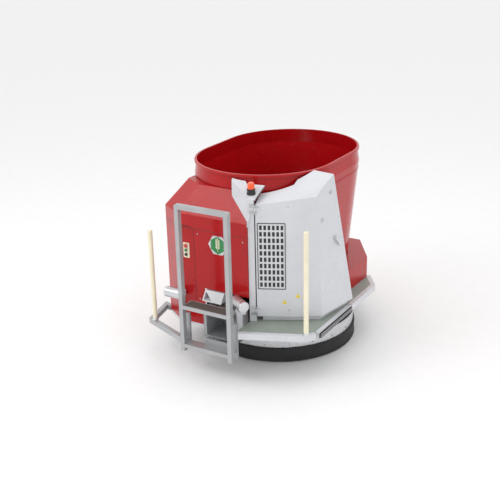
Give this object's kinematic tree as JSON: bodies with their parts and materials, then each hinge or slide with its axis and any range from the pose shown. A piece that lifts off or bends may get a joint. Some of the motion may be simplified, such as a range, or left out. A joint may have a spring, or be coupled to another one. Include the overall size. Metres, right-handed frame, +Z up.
{
  "type": "feed mixing and feeding cart",
  "caption": "Self-driving cart with an oval mixing tub and auger, folded service cabinet, bumper gate and a turning skirt that pushes feed.",
  "frame": {"origin": "on the floor, below the middle of the tub width", "axes": "+Z up, +Y to the machine's rear along its length, +X to its left"},
  "size_m": [1.8647, 2.3798, 1.8679],
  "materials": {
    "red_paint": "deep red gloss paint",
    "white_paint": "satin white powder coat",
    "grey_paint": "light grey powder coat",
    "frame_paint": "dark grey enamel",
    "deck_grey": "grey-green anti-slip coat",
    "steel": "brushed",
    "cast": "machined castings",
    "alloy": "satin",
    "rubber": "matt",
    "tyre": "solid rubber",
    "black_plastic": "matt",
    "cream_plastic": "satin",
    "lens_orange": "clear gloss",
    "stop_red": "gloss",
    "green_plastic": "gloss",
    "copper": "polished contact metal"
  },
  "bodies": {
    "chassis": {"chassis_frame": "frame_paint", "deck_plate": "deck_grey", "deck_rails": "white_paint", "side_buffer_base": "white_paint", "side_buffer_ribs": "rubber", "near_rod": "cream_plastic", "tow_eye": "steel", "tub_shell": "red_paint", "tub_floor": "red_paint", "rim_collar": "red_paint", "load_cells": "steel", "gearbox": "cast", "mixing_motor": "frame_paint", "battery_packs": "black_plastic", "door_guides": "steel", "lift_actuator": "steel", "discharge_chute": "red_paint", "wheel_motors": "frame_paint", "skirt_guides": "frame_paint", "gate_guides": "grey_paint", "docking_pocket": "grey_paint", "charging_funnel": "white_paint", "charging_contacts": "copper", "sensor_housings": "alloy", "sensor_faces": "black_plastic", "sensor_brackets": "white_paint", "hood_shell": "red_paint", "control_plate": "cream_plastic", "emblem_badge": "alloy", "cabinet_frame": "white_paint", "door_hinges": "steel", "beacon_base": "black_plastic", "beacon_lens": "lens_orange", "control_box": "black_plastic", "rear_housing": "red_paint"},
    "auger": {"auger_core": "steel", "auger_flight": "steel", "auger_knives": "steel"},
    "sliding_door": {"discharge_door": "red_paint"},
    "drive_wheel_left": {"drive_tyre_left": "tyre", "drive_hub_left": "steel"},
    "drive_wheel_right": {"drive_tyre_right": "tyre", "drive_hub_right": "steel"},
    "castor_swivel": {"castor_fork": "frame_paint"},
    "castor_roller": {"castor_wheel": "tyre"},
    "skirt": {"skirt_rubber": "rubber", "skirt_ring": "alloy", "skirt_bolts": "steel"},
    "gate": {"gate_frame": "grey_paint", "step_plate": "grey_paint", "wing_tube": "grey_paint", "far_rod": "cream_plastic"},
    "cover_door": {"cabinet_door": "white_paint", "vent_grille": "white_paint"},
    "handle": {"door_handle": "alloy"},
    "lock_upper": {"upper_lock": "alloy"},
    "lock_lower": {"lower_lock": "alloy"},
    "stop_button": {"emergency_stop": "stop_red"},
    "start_push": {"start_button": "green_plastic"},
    "pause_push": {"pause_button": "black_plastic"}
  },
  "joints": [
    {"name": "auger_spin", "type": "hinge", "parent": "chassis", "child": "auger", "pos_m": [0, 0.15, 0.7], "axis": [0, 0, 1], "continuous": true},
    {"name": "discharge_slide", "type": "slide", "parent": "chassis", "child": "sliding_door", "axis": [-0.0977, 0, 0.9952], "range_m": [0, 0.36]},
    {"name": "wheel_left_spin", "type": "hinge", "parent": "chassis", "child": "drive_wheel_left", "pos_m": [0.565, 0.203, 0.13], "axis": [1, 0, 0], "continuous": true},
    {"name": "wheel_right_spin", "type": "hinge", "parent": "chassis", "child": "drive_wheel_right", "pos_m": [-0.355, 0.203, 0.13], "axis": [1, 0, 0], "continuous": true},
    {"name": "castor_turn", "type": "hinge", "parent": "chassis", "child": "castor_swivel", "pos_m": [0.105, -0.54, 0.27], "axis": [0, 0, 1], "continuous": true},
    {"name": "castor_roll", "type": "hinge", "parent": "castor_swivel", "child": "castor_roller", "pos_m": [0.105, -0.495, 0.1], "axis": [1, 0, 0], "continuous": true},
    {"name": "skirt_spin", "type": "hinge", "parent": "chassis", "child": "skirt", "pos_m": [0.105, -0.037, 0.15], "axis": [0, 0, 1], "continuous": true},
    {"name": "gate_push", "type": "slide", "parent": "chassis", "child": "gate", "axis": [0, 1, 0], "range_m": [0, 0.028], "stiffness_N_per_m": 3000},
    {"name": "cover_swing", "type": "hinge", "parent": "chassis", "child": "cover_door", "pos_m": [0.35084, -0.91164, 1.1], "axis": [0, 0, 1], "range_deg": [-30, 0]},
    {"name": "handle_turn", "type": "hinge", "parent": "cover_door", "child": "handle", "pos_m": [0.88758, -0.38, 1.253], "axis": [0.9861, -0.1613, 0.0394], "range_deg": [0, 90]},
    {"name": "upper_lock_turn", "type": "hinge", "parent": "cover_door", "child": "lock_upper", "pos_m": [0.86237, -0.425, 1.7], "axis": [0.9861, -0.1613, 0.0394], "range_deg": [0, 90]},
    {"name": "lower_lock_turn", "type": "hinge", "parent": "cover_door", "child": "lock_lower", "pos_m": [0.84935, -0.56, 1.473], "axis": [0.9861, -0.1613, 0.0394], "range_deg": [0, 90]},
    {"name": "stop_press", "type": "slide", "parent": "chassis", "child": "stop_button", "axis": [0, 1, 0], "range_m": [0, 0.005], "stiffness_N_per_m": 900},
    {"name": "start_press", "type": "slide", "parent": "chassis", "child": "start_push", "axis": [0, 1, 0], "range_m": [0, 0.005], "stiffness_N_per_m": 700},
    {"name": "pause_press", "type": "slide", "parent": "chassis", "child": "pause_push", "axis": [0, 1, 0], "range_m": [0, 0.005], "stiffness_N_per_m": 700}
  ]
}
